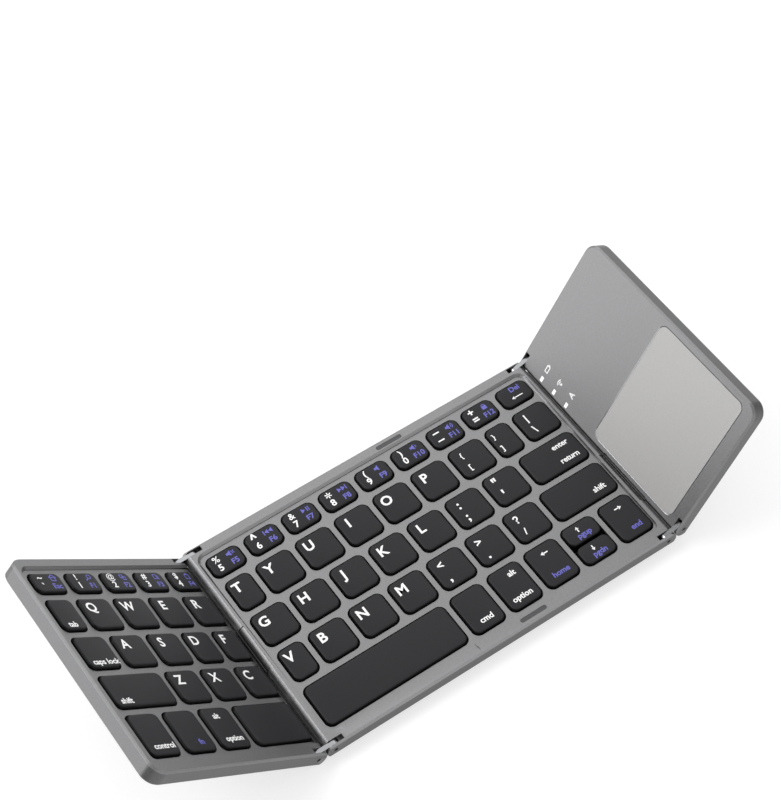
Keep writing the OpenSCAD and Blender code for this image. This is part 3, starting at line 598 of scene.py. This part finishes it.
HAIR = 0.01           # what a test on a panel point may be off
FIELD_X, FIELD_BACK, FIELD_FRONT = 74.95, 44.2, -44.0
FIELD_CORNER = 3.2    # the field's rounded corners reach this far along its sides
SCOOP_CLEAR = 3.05    # the slope stops this far from the front, clear of the finger scoop
HINGE_X = 75.3        # the hinge axes of the middle panel
LEFT_FIELD = 81.95
PAST_HINGE = 20       # the left field runs out over the rounded end
NOSE_RISE = 0.25      # the rounded ends stand this little above the rims
RIM_SLOPE = 0.95      # the rim falls to the key field over a slope
PAD_CUT = 0.28
PAD_BOX = (1.03, 57.43, -43.13, 3.27)
PAD_PLAY = 0.2        # the pocket's edge lies within this of the touchpad's box


def on_field_edge(point, x_low, x_high):
    """True on the upper edge around a key field, its finger scoop left out."""
    inside = (x_low - HAIR <= point.x <= x_high + HAIR
              and FIELD_FRONT + SCOOP_CLEAR < point.y < FIELD_BACK + HAIR)
    on_side = point.x < x_low + FIELD_CORNER or point.x > x_high - FIELD_CORNER
    return (abs(point.z - BODY_T) < NOSE_RISE and inside
            and (on_side or point.y > FIELD_BACK - FIELD_CORNER))


def on_pad_edge(point):
    """True on the upper edge of the touchpad's pocket."""
    x0, x1, y0, y1 = PAD_BOX
    return (abs(point.z - BODY_T) < HAIR and x0 - PAD_PLAY < point.x < x1 + PAD_PLAY
            and y0 - PAD_PLAY < point.y < y1 + PAD_PLAY)


softened("center_top_frame", "middle_panel", CASING,
         cut=(CENTER, lambda p: on_field_edge(p, -FIELD_X, FIELD_X), RIM_SLOPE, CASING))
softened("left_top_frame", "left_wing", CASING,
         cut=(LEFT, lambda p: on_field_edge(p, -LEFT_FIELD, PAST_HINGE), RIM_SLOPE, CASING))
# the bevel round the touchpad's pocket takes the painted highlight
softened("right_top_cover", "right_wing", CASING,
         cut=(RIGHT, on_pad_edge, PAD_CUT, PAD_BEVEL_HIGHLIGHT))
# the rounded hinge ends of the covers are blasted like the casings above them
softened("center_bottom_cover", "middle_panel", COVER,
         barrel=(CENTER, lambda p: abs(p.x) > HINGE_X - HAIR, CASING))
softened("left_bottom_cover", "left_wing", COVER,
         barrel=(LEFT, lambda p: p.x > -HAIR, CASING))
softened("right_bottom_cover", "right_wing", COVER,
         barrel=(RIGHT, lambda p: p.x < HAIR, CASING))
softened("left_hinge_links", "left_link", NICKEL, LINK_BREAK, 3)
softened("right_hinge_links", "right_link", NICKEL, LINK_BREAK, 3)

# ---------------------------------------------------------------- prints on the right wing
bm = bmesh.new()
add_shape(bm, ICONS["battery"], 5.9, 36.1, RIGHT, 0, 0.95)
add_shape(bm, ICONS["wave"], 5.6, 28.0, RIGHT, 0, 0.9)
add_text(bm, "A", 2.6, 5.8, 20.5, RIGHT, 0)
finish_piece("indicator_print", bm, [WHITE_INK], "right_wing", smooth=None)

# ---------------------------------------------------------------- floor, light, camera
FLOOR_SIZE = 4.0                 # metres
UNDER_PANEL = (0.082, 0.047)     # half width and half depth of the paper under the middle panel
OWN_WHITE = 0.6
WORLD_LIGHT = 0.62
bm = bmesh.new()
bmesh.ops.create_grid(bm, x_segments=1, y_segments=1, size=FLOOR_SIZE)
mesh = bpy.data.meshes.new("floor")
bm.to_mesh(mesh)
bm.free()
floor = bpy.data.objects.new("floor", mesh)
bpy.context.scene.collection.objects.link(floor)
FLOOR, tree, shader = material("studio_paper", "#e9e9ea", 0.9)
# Paper sweep: near white, and full white where the camera or a mirror sees it unshaded.
rays = node(tree, "ShaderNodeLightPath")
mirrored = node(tree, "ShaderNodeMath", [(0, rays.outputs["Is Glossy Ray"]),
                                         (1, rays.outputs["Is Transmission Ray"])],
                operation="MAXIMUM")
seen = node(tree, "ShaderNodeMath", [(0, rays.outputs["Is Camera Ray"]), (1, mirrored.outputs[0])],
            operation="MAXIMUM")
tone = node(tree, "ShaderNodeMix", [("Factor", seen.outputs[0])], data_type="RGBA")
tone.inputs[6].default_value = linear("#e4e4e4")
tone.inputs[7].default_value = linear("#b0b0b0")
tree.links.new(shader.inputs["Base Color"], tone.outputs[2])
# what the camera sees is mostly its own white, so that the shadow on it stays faint
# (not right under the middle panel: there it would shine up through the narrow seams)
spot = node(tree, "ShaderNodeSeparateXYZ",
            [("Vector", node(tree, "ShaderNodeNewGeometry").outputs["Position"])])
beyond = []
for axis, reach in zip("XY", UNDER_PANEL):
    away = node(tree, "ShaderNodeMath", [(0, spot.outputs[axis])], operation="ABSOLUTE")
    past = node(tree, "ShaderNodeMath", [(0, away.outputs[0])], operation="GREATER_THAN")
    past.inputs[1].default_value = reach
    beyond.append(past.outputs[0])
open_floor = node(tree, "ShaderNodeMath", list(enumerate(beyond)), operation="MAXIMUM")
seen_open = node(tree, "ShaderNodeMath", [(0, seen.outputs[0]), (1, open_floor.outputs[0])],
                 operation="MULTIPLY")
own_white = node(tree, "ShaderNodeMath", [(0, seen_open.outputs[0])], operation="MULTIPLY")
own_white.inputs[1].default_value = OWN_WHITE
shader.inputs["Emission Color"].default_value = linear("#ffffff")
tree.links.new(shader.inputs["Emission Strength"], own_white.outputs[0])
mesh.materials.append(FLOOR)

world = bpy.data.worlds.new("studio")
bpy.context.scene.world = world
world.use_nodes = True
tree = world.node_tree
background = tree.nodes["Background"]
background.inputs["Color"].default_value = linear("#ffffff")
background.inputs["Strength"].default_value = WORLD_LIGHT


def softbox(name, place, size, power, aim=(0, 0, 0)):
    """A rectangular lamp with its place, size and aim in metres."""
    lamp = bpy.data.lights.new(name, "AREA")
    lamp.shape, lamp.size, lamp.size_y, lamp.energy = "RECTANGLE", size[0], size[1], power
    holder = bpy.data.objects.new(name, lamp)
    bpy.context.scene.collection.objects.link(holder)
    holder.location = place
    holder.rotation_euler = (Vector(aim) - Vector(place)).to_track_quat("-Z", "Y").to_euler()


softbox("overhead", (0.45, 1.15, 1.3), (1.8, 1.4), 11.5)
softbox("left_back", (-0.8, 0.55, 0.13), (1.1, 0.24), 2.8, (0.09, 0.0, 0.03))
softbox("left_top", (-0.85, 0.72, 1.2), (0.9, 0.6), 11.0)
softbox("front_fill", (0.25, -1.4, 0.6), (1.4, 0.5), 4.5)
softbox("right_side", (1.3, 0.67, 0.4), (0.6, 0.5), 1.3)

camera = bpy.data.objects.new("camera", bpy.data.cameras.new("camera"))
bpy.context.scene.collection.objects.link(camera)
camera.location = (-0.24720, -0.33802, 0.68067)
camera.rotation_euler = Euler([math.radians(a) for a in (35.712, 0.385, -34.711)], "XYZ")
camera.data.sensor_width = 36.0
camera.data.lens = 95.145
camera.data.shift_x, camera.data.shift_y = 0.0018, 0.0016
camera.data.clip_start, camera.data.clip_end = 0.01, 20.0
bpy.context.scene.camera = camera
bpy.context.scene.view_settings.view_transform = "Standard"
